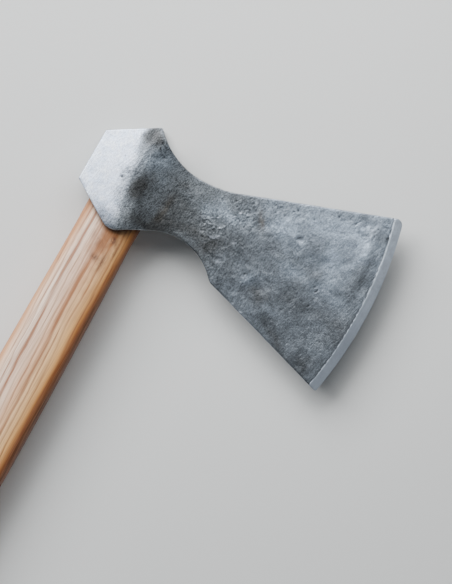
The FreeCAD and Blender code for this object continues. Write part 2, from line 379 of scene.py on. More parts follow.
# soft patches of the front cheek, scale and bare steel mixed with painted shade and painted
# highlight: x, y, half length, half width, turn, brighter or darker
CHEEK_TONE_AND_LIGHT_PATCHES = [
    (132, 30, 34, 9, 20, 0.20),  # painted highlight along the upper half of the blade
    (76, 9.5, 8, 4, -20, 0.24),  # first flat of the blade in front of the neck
    (106, 16, 9, 4, 15, 0.20),
    (118, 12, 6, 5, 0, 0.12),
    (137, 15, 5, 6, 0, 0.16),
    (124, -1, 8, 4, 0, 0.16),
    (142, 3, 8, 5, 60, 0.06),
    (142, 16, 8, 5, 0, 0.08),
    (152, -3, 5, 4, 0, 0.10),
    (128, 10, 4, 3, 0, 0.10),
    (34, 15, 6, 5, 0, 0.22),
    (23.8, 24, 4.5, 7, 0, -0.47),
    (51, 11, 5, 3, 15, -0.17),
    (69, 4.5, 7, 4.5, 0, 0.26),
    (58, 4, 3.5, 3, 0, 0.10),
    (30.5, -4, 3.6, 7, 8, -0.34),  # dark scale behind the ridge, with painted shade of the slope past it, down the throat
    (49, -13, 10, 6, 10, -0.30),
    (43.5, -12, 2.6, 5, 0, 0.13),
    # painted shadow beside the weld line
    (47.6, -8, 1.5, 9, -4, -0.13),
    (46, -20, 12, 3, 0, -0.2),
    (54, 0, 9, 7, 0, -0.26),
    (63, -9, 8, 6, 25, -0.16),
    (76, -13, 8, 9, 20, -0.24),
    (96, -2, 14, 5, 0, -0.12),
    (94, -18, 6, 5, 20, -0.08),
    (106, 4.5, 5, 3, 0, -0.12),
    (107, 10.5, 3.5, 3, 0, 0.10),
    (86, 10, 4, 3, 0, 0.09),
    (102, -15.3, 2.6, 2.6, 0, -0.10),
    (113.5, -21, 6, 5, 0, -0.24),
    (104, -17, 6, 4, 0, 0.19),
    (65, -14, 4, 3, 0, 0.10),
    (121, -25.5, 4, 3, 0, 0.16),
    (135, 4, 4, 3.5, 0, -0.14),
    (153, 39, 6, 4.5, 20, -0.18),
    (135, -32, 5, 3, 0, -0.10),
    (127, -15, 8, 5, 15, -0.16),
    (121, -27, 9, 4, -33, -0.08),
    (132, -37, 14, 3, -35, -0.22),
    (146, -14, 6, 4, 0, -0.12),
    (124, -19, 6, 5, 0, 0.06),
    (152, -42, 7, 6, -40, -0.12),
    (156, 16, 2.4, 15, 0, -0.10),
    (150, 24, 1.9, 11, -8, 0.14),
]


def skin(x, y, side):
    """Height of the forged skin over the plain surface of one cheek, and how deep it is pitted; also
    its dark marks with painted shade under the cups' upper lips, its smoother facet with painted
    sheen and highlights, and its tone with painted light.
    """
    seed = 11 if side > 0 else 77
    behind = edge_distance(x, y)
    top_gap, bottom_gap = top_line(x) - y, y - bottom_line(x)
    facet = 1 - smoothstep(-2.0, 3.0, x - ridge_x(y))
    blade = smoothstep(70, 100, x)

    rough = 1 - 0.8 * facet - 0.35 * blade
    out = 0.20 * fractal(x, y, 19.0, seed, 2) * (1 - 0.5 * facet)
    out += hammer_marks(x, y, seed + 1, 150) * (1 - 0.8 * facet)
    out += 0.045 * fractal(x, y, 7.5, seed + 2, 2) * rough
    out += 0.012 * fractal(x, y, 2.4, seed + 3, 2) * (0.3 + 0.7 * rough)
    # the blade is drawn out with long soft waves that run from the neck towards the edge
    angle = np.arctan2(y - EDGE_CY, x - EDGE_CX)
    out += 0.05 * noise(angle * 60, behind * 0.12, 1.0, seed + 5) * blade
    # soft swelling left by grinding, along the upper half of the edge
    centre = 12.2 + 1.2 * noise(y, y * 0, 24, seed + 6)
    reach = smoothstep(-2, 14, y) * (1 - 0.5 * smoothstep(34, 44, y)) + 0.35 * smoothstep(-14, -26, y)
    out += 0.34 * bell((behind - centre) / 3.6) * reach
    # uneven rims along the outlines
    out -= 0.16 * np.exp(-top_gap / 1.2) * (0.5 + 0.5 * noise(x, y, 7.0, seed + 7)) * blade
    out -= 0.30 * np.exp(-bottom_gap / 1.6) * (0.35 + 0.65 * noise(x, y, 6.0, seed + 8))

    marks = np.zeros_like(x)
    pits = random_pits(x, y, seed + 9, 110, (30, 160, -48, 50), (0.04, 0.14), (0.3, 0.65))
    pits += random_pits(x, y, seed + 10, 22, (100, 160, 28, 52), (0.08, 0.22), (0.35, 0.7))
    if side > 0:
        for mark in DENTS:
            out += pit(x, y, *mark)
        for mark in PITS:
            pits += pit(x, y, *mark)
        for px, py, r, depth in upper_pits():
            near = (np.abs(x - px) < 3 * r) & (np.abs(y - py) < 3 * r)
            if near.any():
                pits[near] += pit(x[near], y[near], px, py, r, 0.8 * r, 30, depth)
        for px, py, radius, scale_seed, height in SCALE_PATCHES:
            out += height * scaly_patch(x, y, px, py, radius, scale_seed)
        for field in PIT_FIELDS:
            pits += random_pits(x, y, *field)
        # flattened patch near the heel
        heel = np.exp(-((((x - 153.5) / 5.5) ** 2 + ((y + 44.0) / 3.0) ** 2) ** 2))
        out -= 0.16 * heel
        # weld line where the strap was lapped to close the eye
        along = (1 - smoothstep(1.2, 3.2, y)) * smoothstep(-19.5, -17.0, y)
        along *= 0.55 + 0.45 * noise(y, y * 0, 2.4, 4)
        wander = 49.3 + 0.35 * noise(y, y * 0, 5.0, 3)
        out -= 0.14 * bell((x - wander) / 0.45) * along
        out += 0.12 * smoothstep(-5, 0, x - wander) * (1 - smoothstep(0, 9, x - wander)) * along
        # thin burr hammered out along the beard
        span = smoothstep(101, 104, x) * (1 - smoothstep(113, 118, x))
        ragged_burr = np.clip(0.7 + 1.1 * noise(x, y * 0, 2.2, 15), 0, 1)
        out += 0.45 * bell(bottom_gap / 0.75) * span * ragged_burr
        toe = np.exp(-(((x - 154.6) / 4.0) ** 2 + ((y - 44.0) / 5.0) ** 2))
        pits += toe * 0.22 * np.minimum(noise(x, y, 1.1, 91) + 0.1, 0)
        marks += 0.4 * bell((x - wander) / 0.35) * along
    else:
        out += scaly_patch(x, y, 66.0, -2.0, 8.0, 6)
        out += 0.5 * scaly_patch(x, y, 92.0, 8.0, 9.0, 7)
        pits += pit(x, y, 124.0, -8.0, 1.6, 1.1, 30, 0.4)
    # ragged dark seam just behind the ground bevel
    along = angle * EDGE_R
    seam_at = BIT_SHOW + 0.25 + 0.25 * noise(along, along * 0, 7.0, seed + 12)
    seam = bell((behind - seam_at) / 0.42)
    seam *= np.clip(0.5 + 0.9 * fractal(along, behind * 0.2, 9.0, seed + 13, 3), 0.08, 1)
    out -= 0.16 * seam
    crumbs = bell(behind - BIT_SHOW - 1.3) * smoothstep(-2, 30, y)
    crumbs *= np.clip(noise(x, y, 0.9, seed + 15) - 0.25, 0, 1)
    out -= 0.2 * crumbs
    marks = marks + 0.8 * seam + 1.2 * crumbs - pits / 0.25
    ragged = 3.5 * fractal(x, y, 7.0, seed + 14, 3)
    worn_to = ridge_x(y) - 0.7 - 1.2 * bell((y + 11) / 6)
    # the sheen over the smoother worn facet behind the ridge is a painted sky reflection, cut back at
    # the upper lug
    polish_and_painted_sheen = 1 - smoothstep(-9.5, 0.5, x - worn_to + ragged)
    # painted shade: less sheen towards the lower outline
    painted_lower_shade = (1 - smoothstep(0.5, 9.0, bottom_gap + ragged)) * smoothstep(15.5, 23, x)
    polish_and_painted_sheen *= 1 - 0.7 * painted_lower_shade
    lug = np.hypot((x - 29.0) / 11.8, (y - 21.5) / 12.5) + 0.04 * ragged
    polish_and_painted_sheen *= smoothstep(0.82, 1.08, lug)
    # painted highlight along the upper outline of the blade
    rim = bell(top_gap / 0.8) * smoothstep(44, 56, x) * (1 - 0.6 * smoothstep(120, 150, x))
    polish_and_painted_sheen = np.maximum(polish_and_painted_sheen, 0.22 * rim)
    if side > 0:
        # painted shade under the cups' upper lips joins the dark marks, painted highlight on their
        # lower lips joins the sheen
        for cx, cy, half, painted_shade_share, painted_highlight_share in CUP_SHADE_AND_HIGHLIGHT:
            dark, bright = cup_shade_and_highlight(x, y, cx, cy, half)
            marks = marks + painted_shade_share * dark
            polish_and_painted_sheen = np.maximum(polish_and_painted_sheen, painted_highlight_share * bright)
        # painted highlight where the burr on the beard catches the light
        polish_and_painted_sheen = np.maximum(polish_and_painted_sheen, 0.9 * bell(bottom_gap / 0.8) * span * ragged_burr)
    return out + pits, np.clip(marks, 0, 1), polish_and_painted_sheen, scale_tone_and_painted_light(x, y, side)


def scale_tone_and_painted_light(x, y, side):
    """Slow change of brightness over a cheek, 0 for full scale and 1 for bright steel; it also holds
    painted light: lighter towards the upper outline, and soft patches of painted shade and highlight
    on the front cheek.
    """
    # painted light: lighter towards the upper outline
    out = 0.44 + 0.09 * smoothstep(-30, 30, y - 0.1 * x) + 0.03 * smoothstep(95, 120, x)
    out += 0.07 * noise(x, y, 16.0, 301 + side)
    if side > 0:
        warp_x = x + 2.4 * fractal(x, y, 7.0, 305, 3)
        warp_y = y + 2.4 * fractal(x, y, 7.0, 306, 3)
        for cx, cy, a, b, turn, amount in CHEEK_TONE_AND_LIGHT_PATCHES:
            u, v = turned_axes(warp_x, warp_y, cx, cy, math.radians(turn))
            out += amount * np.exp(-((u / a) ** 2) - (v / b) ** 2)
    else:
        out += 0.2 * noise(x, y, 13.0, 303) - 0.2 * bell((x - 42) / 16)
    return np.clip(out, 0, 1)


# ---- Mesh tools -----------------------------------------------------------------------
def mesh_object(name, points, faces):
    """Points are in mm; faces are lists of vertex numbers."""
    mesh = bpy.data.meshes.new(name)
    mesh.from_pydata((np.asarray(points) * MM).tolist(), [], faces)
    mesh.validate()
    obj = bpy.data.objects.new(name, mesh)
    bpy.context.scene.collection.objects.link(obj)
    return obj


def store(obj, name, values):
    """Keeps one number per vertex for the material to read."""
    layer = obj.data.attributes.new(name, "FLOAT", "POINT")
    layer.data.foreach_set("value", np.asarray(values, np.float32))


def grid_faces(index, close=False):
    """Quads over a 2-D array of vertex numbers; close joins the last column to the first."""
    if close:
        index = np.concatenate([index, index[:, :1]], axis=1)
    a, b, c, d = index[:-1, :-1], index[1:, :-1], index[1:, 1:], index[:-1, 1:]
    return np.stack([a, b, c, d], axis=-1).reshape(-1, 4)


def ring_solid(name, rings):
    """Closed solid from equal rings of points, with one flat face at each end."""
    rings = np.asarray(rings)
    index = np.arange(rings.shape[0] * rings.shape[1]).reshape(rings.shape[:2])
    faces = grid_faces(index, close=True).tolist()
    faces += [index[0].tolist(), index[-1][::-1].tolist()]
    return mesh_object(name, rings.reshape(-1, 3), faces)


def smooth(obj, angle):
    """Smooth shading, with an edge kept sharp where it turns by more than this angle."""
    mesh = obj.data
    mesh.polygons.foreach_set("use_smooth", [True] * len(mesh.polygons))
    mesh.set_sharp_from_angle(angle=math.radians(angle))
    mesh.update()


def cut(obj, *tools):
    """Exact boolean difference, applied to the mesh."""
    for tool in tools:
        mod = obj.modifiers.new("cut", "BOOLEAN")
        mod.operation, mod.solver, mod.object = "DIFFERENCE", "EXACT", tool
    bpy.context.view_layer.update()
    final = obj.evaluated_get(bpy.context.evaluated_depsgraph_get())
    result = bpy.data.meshes.new_from_object(final)
    old = obj.data
    obj.modifiers.clear()
    obj.data = result
    result.name = old.name
    bpy.data.meshes.remove(old)
    for tool in tools:
        bpy.data.objects.remove(tool)


def blend_cap(loop, rows, cols):
    """Points inside a closed loop of 2*(rows+cols) vertices, by Coons interpolation."""
    left, top = loop[: rows + 1], loop[rows : rows + cols + 1]
    right = loop[rows + cols : 2 * rows + cols + 1][::-1]
    bottom = np.concatenate([loop[2 * rows + cols :], loop[:1]])[::-1]
    u = np.linspace(0, 1, cols + 1)[None, :, None]
    v = np.linspace(0, 1, rows + 1)[:, None, None]
    grid = (1 - u) * left[:, None] + u * right[:, None]
    grid += (1 - v) * bottom[None] + v * top[None]
    grid -= (1 - u) * (1 - v) * left[0] + u * (1 - v) * right[0]
    grid -= (1 - u) * v * left[-1] + u * v * right[-1]
    return grid


def tube(sections, rows, cols):
    """Closed solid from loops of 2*(rows+cols) points, capped by grids at both ends."""
    sections = np.asarray(sections)
    count, ring = sections.shape[:2]
    index = np.arange(count * ring).reshape(count, ring)
    points = [sections.reshape(-1, 3)]
    faces = [grid_faces(index, close=True)]
    total = count * ring
    for which in (0, -1):
        inner = blend_cap(sections[which], rows, cols)[1:-1, 1:-1]
        inner_count = (rows - 1) * (cols - 1)
        number = np.zeros((rows + 1, cols + 1), int)
        loop = index[which]
        number[:, 0] = loop[: rows + 1]
        number[-1, :] = loop[rows : rows + cols + 1]
        number[:, -1] = loop[rows + cols : 2 * rows + cols + 1][::-1]
        number[0, 1:] = loop[2 * rows + cols :][::-1]
        number[1:-1, 1:-1] = total + np.arange(inner_count).reshape(inner.shape[:2])
        total += inner_count
        points.append(inner.reshape(-1, 3))
        quads = grid_faces(number)
        faces.append(quads if which == 0 else quads[:, ::-1])
    return np.concatenate(points), np.concatenate(faces)


# ---- Head body ------------------------------------------------------------------------
def head_columns():
    """Mid-line positions of the columns, from the poll to the seam of the bit."""
    rounding = [0.0, 0.04, 0.13, 0.28, 0.5, 0.8, 1.2]
    last = EDGE_PEAK[0] - BIT_SHOW
    count = int((last - 1.7) / HEAD_STEP)
    return np.concatenate([rounding, np.linspace(1.7, last, count)])


def column_x(s, y):
    """Columns are straight at the poll and follow the cutting edge's arc on the blade."""
    bend = smoothstep(60, 138, s)
    arc = EDGE_CX + np.sqrt((s - EDGE_CX) ** 2 - (y - EDGE_CY) ** 2)
    return s + bend * (arc - s)


def outline_on_column(s, line):
    y = line(s)
    for _ in range(25):
        y = line(column_x(s, y))
    return y


def head_section(s):
    """One closed loop of points round the head at a column."""
    inset = 0.0
    if s < POLL_ROUND:
        inset = POLL_ROUND - math.sqrt(POLL_ROUND**2 - (POLL_ROUND - s) ** 2)
    top = float(outline_on_column(s, top_line))
    bottom = float(outline_on_column(s, bottom_line))
    top += 0.14 * float(fractal(s, 0.0, 9.0, 41, 3)) * float(smoothstep(2, 8, s)) - 0.05
    bottom += 0.16 * float(fractal(s, 3.0, 8.0, 43, 3)) * float(smoothstep(2, 8, s)) + 0.05
    top, bottom = top - inset, bottom + inset
    thin = float(plain_half(column_x(s, top), top))
    soften = 0.45 + 0.4 * float(smoothstep(18, 60, s))
    crisp = 0.35 * float(smoothstep(40, 60, s))
    round_top = min(soften - crisp + 0.15 * float(noise(s, 1.0, 11.0, 44)), 0.62 * thin)
    round_bottom = min(soften + 0.25 * float(noise(s, 7.0, 9.0, 45)), 0.62 * thin)
    corner = 3
    steps = np.linspace(0, math.pi / 4, corner + 1)
    straight = np.linspace(bottom + round_bottom, top - round_top, HEAD_ROWS - 2 * corner + 1)
    low = bottom + round_bottom * (1 - np.sin(steps[::-1]))[:-1]
    low_drop = round_bottom * (1 - np.cos(steps[::-1]))[:-1]
    high = top - round_top * (1 - np.sin(steps))[1:]
    high_drop = round_top * (1 - np.cos(steps))[1:]
    y = np.concatenate([low, straight, high])
    drop = np.concatenate([low_drop, straight * 0, high_drop])
    x = column_x(s, y)

    heights, marks, painted_sheens_on_polish, cheek_tones_and_painted_light = [], [], [], []
    for side in (1, -1):
        height, mark, painted_sheen_on_polish, cheek_tone_and_painted_light = skin(x, y, side)
        heights.append(np.maximum(plain_half(x, y) + height - inset - drop, 0.3))
        marks.append(mark)
        painted_sheens_on_polish.append(painted_sheen_on_polish)
        cheek_tones_and_painted_light.append(cheek_tone_and_painted_light)
    front, back = heights

    def wall_points(edge_y, sign, radius, z_from, z_to):
        turn = np.linspace(math.pi / 4, math.pi / 2, corner + 1)[1:]
        rise = radius * (1 - np.sin(turn)) - radius * (1 - math.sin(math.pi / 4))
        fall = radius * (math.cos(math.pi / 4) - np.cos(turn))
        z_a = z_from - np.sign(z_from) * fall
        z_b = z_to - np.sign(z_to) * fall
        middle = np.linspace(z_a[-1], z_b[-1], WALL_ROWS - 2 * corner + 1)[1:-1]
        flat = edge_y - sign * rise[-1]
        ripple = 0.09 * fractal(s + middle * 0, middle, 4.0, 51 + int(sign), 3)
        bow = 0.12 * (1 - (middle / max(abs(z_from), 1)) ** 2)
        turned = edge_y - sign * rise
        ys = np.concatenate([turned, flat + sign * (bow + ripple - 0.1), turned[::-1]])
        return ys, np.concatenate([z_a, middle, z_b[::-1]])

    top_y, top_z = wall_points(y[-1], 1, round_top, front[-1], -back[-1])
    bottom_y, bottom_z = wall_points(y[0], -1, round_bottom, -back[0], front[0])
    ys = np.concatenate([y, top_y, y[::-1], bottom_y])
    zs = np.concatenate([front, top_z, -back[::-1], bottom_z])
    wall = np.zeros(WALL_ROWS - 1)
    mark = np.concatenate([marks[0], wall, marks[1][::-1], wall])
    painted_sheen_on_polish = np.concatenate([painted_sheens_on_polish[0], wall, painted_sheens_on_polish[1][::-1], wall])
    cheek_tone_and_painted_light = np.concatenate([cheek_tones_and_painted_light[0], wall + 0.5, cheek_tones_and_painted_light[1][::-1], wall + 0.5])
    return np.stack([column_x(s, ys), ys, zs], axis=1), mark, painted_sheen_on_polish, cheek_tone_and_painted_light


def eye_half(y):
    share = (y - EYE_BOTTOM_Y) / (EYE_TOP_Y - EYE_BOTTOM_Y)
    (a0, b0), (a1, b1) = EYE_HALVES
    return a0 + (a1 - a0) * share, b0 + (b1 - b0) * share


def oval(turn, cx, y, half_length, half_width, power):
    c, s = np.cos(turn), np.sin(turn)
    x = cx + half_length * np.sign(c) * np.abs(c) ** (2 / power)
    z = half_width * np.sign(s) * np.abs(s) ** (2 / power)
    return np.stack([x, x * 0 + y, z], axis=1)


def eye_tool():
    """Tapered oval that opens the eye, cut out of the head and longer than it."""
    turn = np.linspace(0, 2 * math.pi, 96, endpoint=False)
    levels = np.linspace(EYE_BOTTOM_Y - 3, EYE_TOP_Y + 3, 12)
    return ring_solid("eye_tool", [oval(turn, EYE_X, y, *eye_half(y), OVAL_POWER) for y in levels])


def edge_ring(profile, angles):
    """Sweeps (radius, z) loops about the cutting edge's centre; profile(angle) gives one."""
    rings = []
    for a in angles:
        r, z = profile(a)
        rings.append(np.stack([EDGE_CX + r * math.cos(a), EDGE_CY + r * math.sin(a), z], axis=1))
    return np.array(rings)


def plain_lip():
    """Half thickness of the bit where it meets the body's lips."""
    return float(np.interp(EDGE_PEAK[0] - BIT_SHOW, NECK[:, 0], NECK[:, 1])) - BIT_LIP


def cleft_tool():
    """Space for the bit's tongue, a hair larger than the tongue itself."""
    seam, past = EDGE_R - BIT_SHOW, 2.0
    lip, root = plain_lip() + CLEFT_GAP, BIT_TONGUE_HALF + CLEFT_GAP
    grow = (lip - root) / BIT_TONGUE * past
    r = np.array([seam - BIT_TONGUE - CLEFT_GAP, seam + past])[[0, 1, 1, 0]]
    z = np.array([root, lip + grow, -lip - grow, -root])
    return ring_solid("cleft_tool", edge_ring(lambda _: (r, z), np.linspace(-0.32, 0.36, 60)))


def make_head():
    sections, marks, painted_sheens_on_polish, cheek_tones_and_painted_light = zip(*(head_section(s) for s in head_columns()))
    points, faces = tube(sections, HEAD_ROWS, WALL_ROWS)
    points[:, 2] = np.clip(points[:, 2], CAD_BOX[0][2] / MM + 0.01, CAD_BOX[1][2] / MM - 0.01)
    obj = mesh_object("forged_head", points, faces.tolist())
    for name, values, rest in (("cavity", marks, 0), ("polish_and_painted_sheen", painted_sheens_on_polish, 0), ("scale_tone_and_painted_light", cheek_tones_and_painted_light, 0.5)):
        values = np.concatenate(values)
        store(obj, name, np.concatenate([values, np.full(len(points) - len(values), rest)]))
    stain = -sum(pit(points[:, 0], points[:, 1], *row) for row in STAINS)
    store(obj, "stain", stain * (points[:, 2] > 0))
    cut(obj, eye_tool(), cleft_tool())
    smooth(obj, 38)
    return obj


# ---- Steel bit ------------------------------------------------------------------------
def corner_inset(gap, radius):
    """How far a rounded corner pulls the end back, at a gap from the edge."""
    inner = np.clip(radius - gap, 0, radius)
    return radius - np.sqrt(radius**2 - inner**2)


def ends_on_arc(r):
    """Angles, about the edge's centre, where an arc of this radius meets both outlines."""
    ends = []
    for line, radius in ((bottom_line, HEEL_CORNER_R), (top_line, TOE_CORNER_R)):
        y = EDGE_CY
        for _ in range(40):
            y = float(line(EDGE_CX + math.sqrt(r * r - (y - EDGE_CY) ** 2)))
        sign = 1 if y > EDGE_CY else -1
        pull = float(corner_inset(EDGE_R - r, radius))
        ends.append(math.asin((y - EDGE_CY - sign * (pull + 0.03)) / r))
    return ends


def bit_profile(angle):
    """Radii and heights of the bit's front half, from the tongue's root to the edge."""
    seam = EDGE_R - BIT_SHOW + 0.08 * float(noise(angle * 220, 0, 1.0, 61))
    wander = float(fractal(angle * 220, 2.0, 16.0, 62, 3))
    x, y = EDGE_CX + (EDGE_R - 4.6) * math.cos(angle), EDGE_CY + (EDGE_R - 4.6) * math.sin(angle)
    half = float(plain_half(x, y)) - CLEFT_GAP
    shoulder = 4.35 + 0.3 * wander - 0.5 * float(smoothstep(0.12, 0.26, angle))
    tongue = np.linspace(seam - BIT_TONGUE, seam, 9)
    tongue_z = np.linspace(BIT_TONGUE_HALF, plain_lip(), 9)
    behind = np.array([shoulder + 0.16, shoulder + 0.05, shoulder - 0.05, shoulder - 0.2])
    strip = np.linspace(shoulder - 0.5, 0.45, 12)
    behind = np.concatenate([behind, strip, [0.2, 0.07, 0.0]])
    share = np.clip(behind / shoulder, 0, 1.0)
    bevel = EDGE_LAND + (half - EDGE_LAND) * (share**0.97)
    bevel[:4] = half - np.array([0.0, 0.005, 0.035, 0.075])
    r = np.concatenate([tongue, [seam, seam + 0.12, seam + 0.4], EDGE_R - behind])
    z = np.concatenate([tongue_z, [half - 0.16, half - 0.05, half - 0.01], bevel])
    return r, z


def make_bit():
    inner = np.linspace(0.006, 0.994, 460)
    levels = np.concatenate([[0, 0.0012, 0.003], inner, [0.997, 0.9988, 1]])
    mid = [bit_profile(a) for a in np.linspace(-0.19, 0.28, len(levels))]
    rows = []
    table_r = np.linspace(EDGE_R - 26, EDGE_R, 400)
    table = np.array([ends_on_arc(r) for r in table_r])
    for k, t in enumerate(levels):
        r, z = mid[k]
        low, high = (np.interp(r, table_r, table[:, i]) for i in (0, 1))
        angle = low + t * (high - low)
        gap = np.minimum(t, 1 - t) * (high - low) * r
        z = z * (1 - 0.3 * np.clip(1 - gap / 0.6, 0, 1) ** 2)
        z = z + 0.010 * fractal(angle * 220, r, 1.3, 63, 2) * (r < EDGE_R - 0.5)
        nick = 0.10 * max(0.0, float(noise(t * 260, 0, 1.0, 64)) - 0.35) * (r > EDGE_R - 0.1)
        r = r - nick
        x, y = EDGE_CX + r * np.cos(angle), EDGE_CY + r * np.sin(angle)
        front = np.stack([x, y, z], axis=1)
        back = np.stack([x, y, -z], axis=1)[::-1]
        rows.append(np.concatenate([front, back]))
    rings = np.array(rows)
    ring = rings.shape[1]
    index = np.arange(len(levels) * ring).reshape(-1, ring)
    faces = [grid_faces(index, close=True)]
    half = ring // 2
    for which in (0, -1):
        loop = index[which]
        pair = np.stack([loop[:half], loop[half:][::-1]], axis=0)
        quads = grid_faces(pair)
        faces.append(quads if which else quads[:, ::-1])
    faces = np.concatenate(faces)[:, ::-1]
    obj = mesh_object("edge_bit", rings.reshape(-1, 3), faces.tolist())
    behind = EDGE_R - np.hypot(rings[..., 0] - EDGE_CX, rings[..., 1] - EDGE_CY)
    along = rings[..., 1]
    seam = np.clip((behind - 4.6) / 0.4, 0, 1)
    seam *= np.clip(0.55 + 1.2 * noise(along, behind * 0, 1.6, 65), 0, 1)
    store(obj, "cavity", np.clip(seam, 0, 1).reshape(-1))
    smooth(obj, 30)
    return obj


# ---- Haft -----------------------------------------------------------------------------
HAFT_TOP_Y = 17.6
# y, back edge x, front edge x, half width
HAFT_SECTIONS = [
    (-31.0, 10.06, 42.00, 10.4),
    (-50.0, 10.03, 42.80, 10.7),
    (-86.0, 10.0, 44.0, 11.2),
    (-155.0, 10.0, 45.6, 12.0),
    (-215.0, 10.2, 45.6, 12.3),
    (-270.0, 11.0, 43.8, 12.0),
    (-312.0, 11.0, 43.6, 12.1),
    (-338.0, 9.0, 46.4, 13.1),
    (-352.0, 8.0, 48.2, 13.6),
    (-364.0, 8.2, 48.4, 13.5),
]
SECTION_TABLE = np.array(HAFT_SECTIONS[::-1])
END_REACH = 16.0  # about half the length of the haft's end faces
BUTT_EDGE_R = 3.6
BUTT_GAP = 0.05  # the visual haft stops this far short of the solid's butt
EYE_GAP, GRIP_GAP = 0.07, 0.12  # how much slimmer it is in the eye and below it
# dark smudges in front just below the head: x, y, half across, half along, amount
SMUDGES = [
    (28.4, -46.6, 2.6, 1.9, 0.85),
    (32.8, -47.5, 1.2, 5.5, 0.75),
    (32.6, -34.2, 1.7, 2.2, 1.0),
    (28.0, -38.0, 4.0, 5.0, 0.40),
    (36.6, -40.0, 0.9, 4.0, 0.50),
    (22.0, -36.0, 1.2, 3.5, 0.30),
]
HANG_HOLE = (28.0, -341.0)
HANG_HOLE_R = 4.0
KERF_TOP_HALF, KERF_TIP_HALF, KERF_TIP_Y, SAW_END_Y = 2.3, 0.5, -22.0, -27.0
CROSS_TURN, CROSS_WIDTH, CROSS_TOP_HALF, CROSS_TIP_HALF, CROSS_LENGTH = 52.0, 17.0, 1.6, 0.4, 24.0


def catmull(y, ys, values):
    """Smooth interpolation through section values; ys must rise."""
    slopes = np.gradient(values, ys)
    i = np.clip(np.searchsorted(ys, y) - 1, 0, len(ys) - 2)
    h = ys[i + 1] - ys[i]
    t = (y - ys[i]) / h
    a, b = values[i], values[i + 1]
    m, n = slopes[i] * h, slopes[i + 1] * h
    ends = (2 * t**3 - 3 * t**2 + 1) * a + (t**3 - 2 * t**2 + t) * m
    return ends + (3 * t**2 - 2 * t**3) * b + (t**3 - t**2) * n


def haft_ring(y, turn, inset=0.0):
    """Outline of the haft at a height, shrunk by an inset."""
    below = EYE_BOTTOM_Y - y
    if below <= 0:
        a, b = eye_half(y)
        cx, power, a, b = EYE_X, OVAL_POWER, a - EYE_GAP, b - EYE_GAP
    else:
        ys = SECTION_TABLE[:, 0]
        back, front, b = (catmull(y, ys, SECTION_TABLE[:, k]) for k in (1, 2, 3))
        cx, a = (back + front) / 2, (front - back) / 2
        power = OVAL_POWER + 0.55 * float(smoothstep(0, 31, below))
        blend = min(1.0, below / 3.0)
        shrink = EYE_GAP * (1 - blend) + GRIP_GAP * blend
        a, b = a - shrink, b - shrink
    ring = oval(turn, cx, y, a, b, power)
    if below > 0:
        around = turn * 15.0  # length round the section, about
        wave = 0.16 * fractal(around, around * 0 + y * 0.085, 5.0, 71, 2)
        wave += 0.035 * fractal(around, around * 0 + y * 0.05, 1.1, 73, 2)
        wave *= min(1.0, below / 6.0)
        out = ring * [1, 0, 1] - np.array([cx, 0, 0])
        length = np.linalg.norm(out, axis=1, keepdims=True)
        ring = ring + out / length * (wave[:, None] - 0.1)
    if inset:
        centre = np.array([cx, y, 0])
        out = ring - centre
        length = np.linalg.norm(out, axis=1, keepdims=True)
        ring = centre + out * np.maximum(1 - inset / length, 0.02)
    return ring


def even_turns(count):
    """Angles that space points evenly round the haft's section."""
    fine = np.linspace(0, 2 * math.pi, 4000)
    ring = oval(fine, 0, 0, 16.5, 11, 2.9)  # about the section at mid length
    step = np.concatenate([[0], np.cumsum(np.linalg.norm(np.diff(ring, axis=0), axis=1))])
    return np.interp(np.linspace(0, step[-1], count, endpoint=False), step, fine)


def make_haft():
    turn = even_turns(120)
    rings = []
    butt = HAFT_SECTIONS[-1][0]
    # end of the butt: flat with a slight crown, then the rounded rim
    for share in (0.97, 0.85, 0.7, 0.55, 0.4, 0.27):
        crown = 0.5 * (1 - share) ** 2
        rings.append(haft_ring(butt + BUTT_GAP, turn, END_REACH * share) + [0, crown, 0])
    for a in np.linspace(0, math.pi / 2, 9):
        inset = BUTT_EDGE_R * (1 - math.sin(a))
        y = butt + BUTT_GAP + 0.27 + BUTT_EDGE_R * (1 - math.cos(a))
        rings.append(haft_ring(y, turn, inset))
    start = butt + 0.4 + BUTT_EDGE_R
    spans = [(start + 1.0, -66.0, 250), (-65.3, EYE_BOTTOM_Y, 50), (-29.5, HAFT_TOP_Y - 0.55, 30)]
    for span in spans:
        rings += [haft_ring(y, turn) for y in np.linspace(*span)]
    for a in np.linspace(0.3, 1.3, 3):
        rings.append(haft_ring(HAFT_TOP_Y - 0.5 * (1 - math.sin(a)), turn, 0.5 * (1 - math.cos(a))))
    for share in (0.2, 0.4, 0.6, 0.8, 0.95):
        rings.append(haft_ring(HAFT_TOP_Y, turn, END_REACH * share) + [0, -0.03, 0])
    points = np.concatenate(rings)
    gap = bottom_line(points[:, 0]) - points[:, 1]
    # painted contact shadow on the wood just under the head's lower outline
    painted_contact_shadow = np.exp(-np.maximum(gap, 0) / 1.3) * (gap > -6)
    obj = ring_solid("wood_haft", rings)
    store(obj, "painted_contact_shadow", painted_contact_shadow)
    smudge = np.zeros(len(points))
    for x, y, across, along, amount in SMUDGES:
        spot = ((points[:, 0] - x) / across) ** 2 + ((points[:, 1] - y) / along) ** 2
        smudge = np.maximum(smudge, amount * np.exp(-spot) * (points[:, 2] > 0))
    store(obj, "smudge", smudge)
    cut(obj, hang_hole_tool(), kerf_tool(), cross_tool())
    smooth(obj, 42)
    return obj


def wedge_tool(name, profile, half_length, turn=0.0):
    """Wedge-shaped slot along X through the haft's middle; profile gives (y, half thickness)."""
    outline = profile + [(y, -z) for y, z in profile[::-1]]
    rings = [[(x, y, z) for y, z in outline] for x in (-half_length, half_length)]
    matrix = Matrix.Rotation(math.radians(turn), 3, "Y")
    rings = [[matrix @ Vector(point) + Vector((EYE_X, 0, 0)) for point in ring] for ring in rings]
    return ring_solid(name, rings[::-1])


